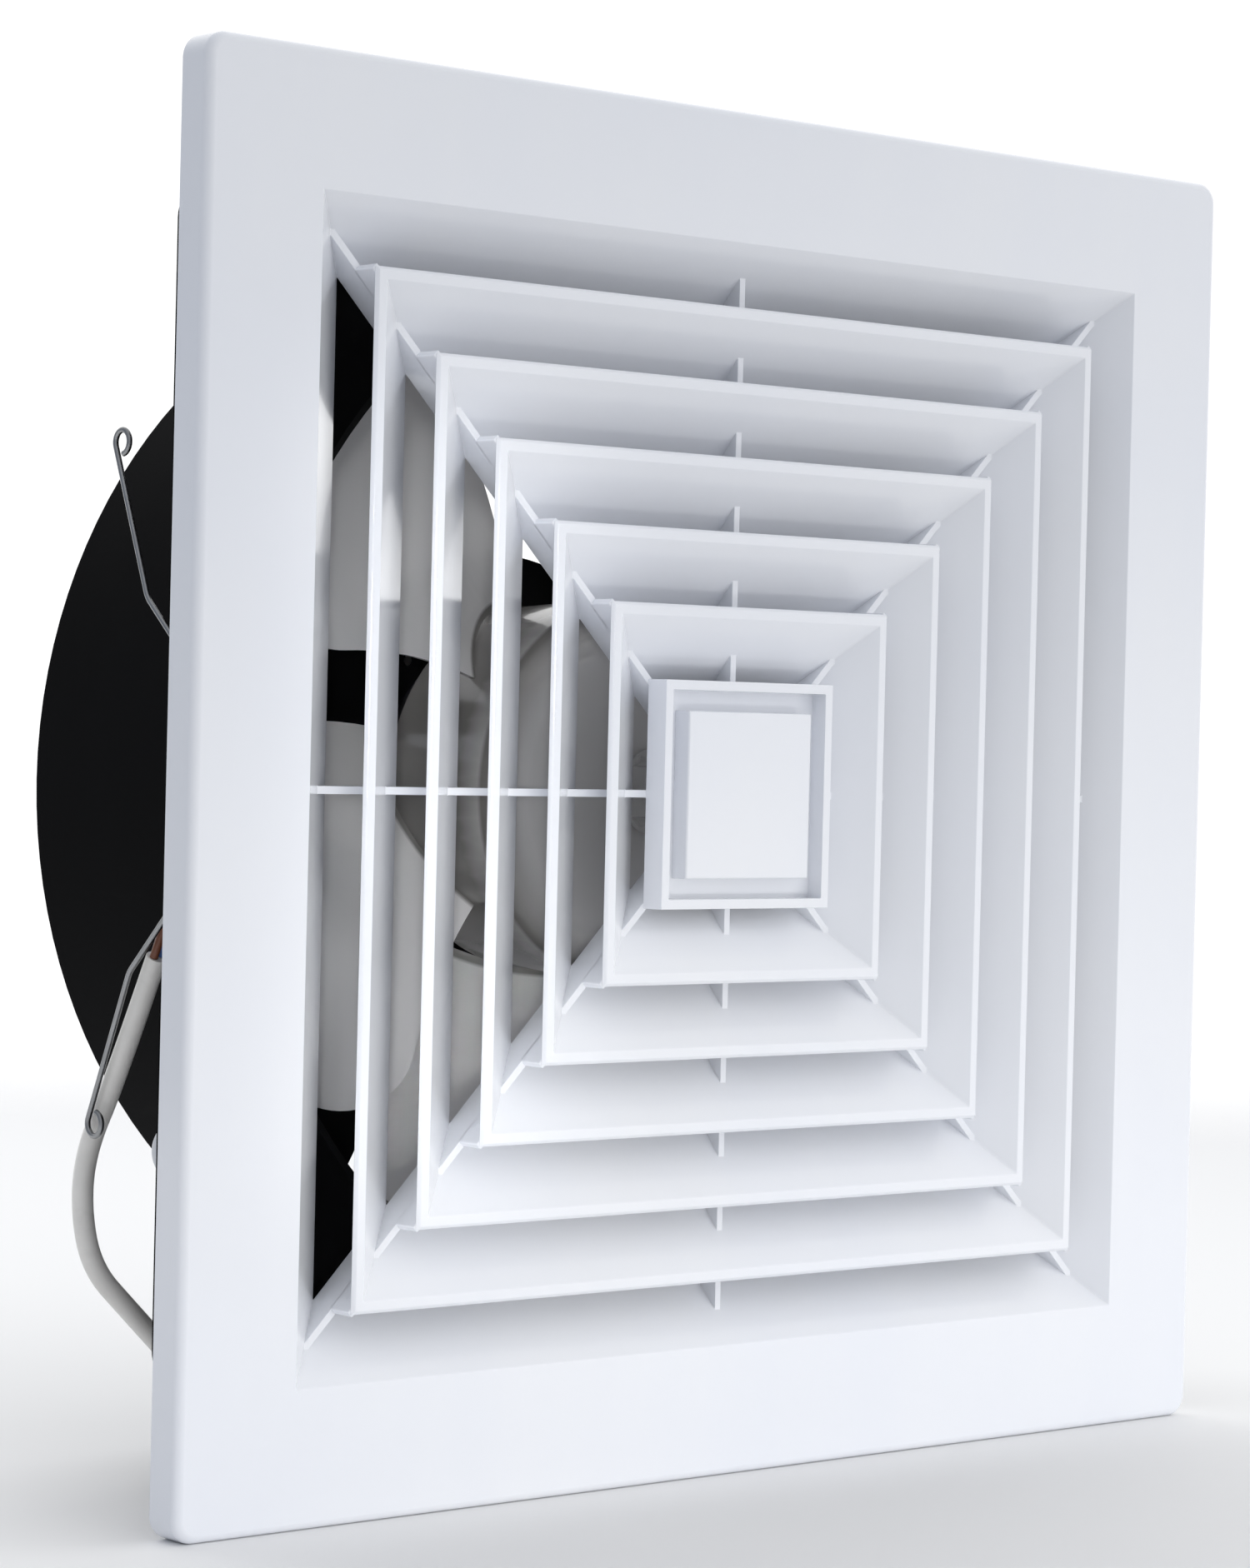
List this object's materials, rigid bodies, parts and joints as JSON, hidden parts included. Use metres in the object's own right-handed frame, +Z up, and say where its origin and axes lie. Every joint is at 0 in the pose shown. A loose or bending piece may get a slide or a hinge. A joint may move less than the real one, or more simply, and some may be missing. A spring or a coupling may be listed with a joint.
{
  "type": "ceiling exhaust fan",
  "caption": "Square ceiling exhaust fan: white louvered grille, black box and round duct drum, axial impeller on a sealed motor, folding V springs and a stripped supply cord.",
  "frame": {"origin": "on the fan axis in the plane of the panel's rear rim, where the panel meets the ceiling or wall face", "axes": "+Y from the grille along the air flow to the drum's rear, +Z up as pictured, +X to the right seen from the front"},
  "size_m": [0.36, 0.1222, 0.36],
  "materials": {
    "white_abs": "gloss white moulding",
    "black_moulding": "matt black moulding",
    "fan_plastic": "satin grey white",
    "zinc_wire": "bright zinc plate",
    "zinc_screw": "zinc plate",
    "motor_casting": "black coated",
    "lamination": "stacked sheet edges",
    "enamel_copper": "enamelled wire",
    "bare_copper": "bare wire",
    "bearing_steel": "ground",
    "shaft_steel": "ground",
    "pale_pvc": "satin flexible sheath",
    "brown_pvc": "satin flexible insulation",
    "blue_pvc": "satin flexible insulation",
    "black_sleeve": "woven sleeve",
    "pale_nylon": "satin nylon"
  },
  "bodies": {
    "fan_body": {"grille": "white_abs", "centre_cap": "white_abs", "housing": "black_moulding", "housing_screws": "zinc_screw", "motor_bracket": "black_moulding", "bracket_screws": "zinc_screw", "motor_front_shell": "motor_casting", "motor_rear_shell": "motor_casting", "motor_screws": "zinc_screw", "motor_mount_screws": "zinc_screw", "stator_core": "lamination", "stator_windings": "enamel_copper", "shading_bars": "bare_copper", "front_bearing": "bearing_steel", "rear_bearing": "bearing_steel", "spring_screws": "zinc_screw", "cord_gland": "pale_nylon", "gland_nut": "pale_nylon", "motor_lead": "black_sleeve", "cord_sheath": "pale_pvc", "brown_conductor": "brown_pvc", "blue_conductor": "blue_pvc", "copper_strands": "bare_copper"},
    "rotor": {"shaft": "shaft_steel", "rotor_core": "lamination", "impeller": "fan_plastic", "drive_pin": "shaft_steel", "impeller_washer": "zinc_screw", "impeller_nut": "fan_plastic"},
    "left_upper_arm": {"left_spring_upper_arm": "zinc_wire"},
    "left_lower_arm": {"left_spring_lower_arm": "zinc_wire"},
    "right_upper_arm": {"right_spring_upper_arm": "zinc_wire"},
    "right_lower_arm": {"right_spring_lower_arm": "zinc_wire"}
  },
  "joints": [
    {"name": "impeller_spin", "type": "hinge", "parent": "fan_body", "child": "rotor", "pos_m": [0, 0.06, 0], "axis": [0, 1, 0], "continuous": true},
    {"name": "left_upper_arm_fold", "type": "hinge", "parent": "fan_body", "child": "left_upper_arm", "pos_m": [-0.1529, 0.0019, 0], "axis": [-1, 0, 0], "range_deg": [0, 36], "stiffness_Nm_per_rad": 0.7},
    {"name": "left_lower_arm_fold", "type": "hinge", "parent": "fan_body", "child": "left_lower_arm", "pos_m": [-0.1586, 0.0019, 0], "axis": [1, 0, 0], "range_deg": [0, 36], "stiffness_Nm_per_rad": 0.7},
    {"name": "right_upper_arm_fold", "type": "hinge", "parent": "fan_body", "child": "right_upper_arm", "pos_m": [0.1529, 0.0019, 0], "axis": [-1, 0, 0], "range_deg": [0, 36], "stiffness_Nm_per_rad": 0.7},
    {"name": "right_lower_arm_fold", "type": "hinge", "parent": "fan_body", "child": "right_lower_arm", "pos_m": [0.1586, 0.0019, 0], "axis": [1, 0, 0], "range_deg": [0, 36], "stiffness_Nm_per_rad": 0.7}
  ]
}
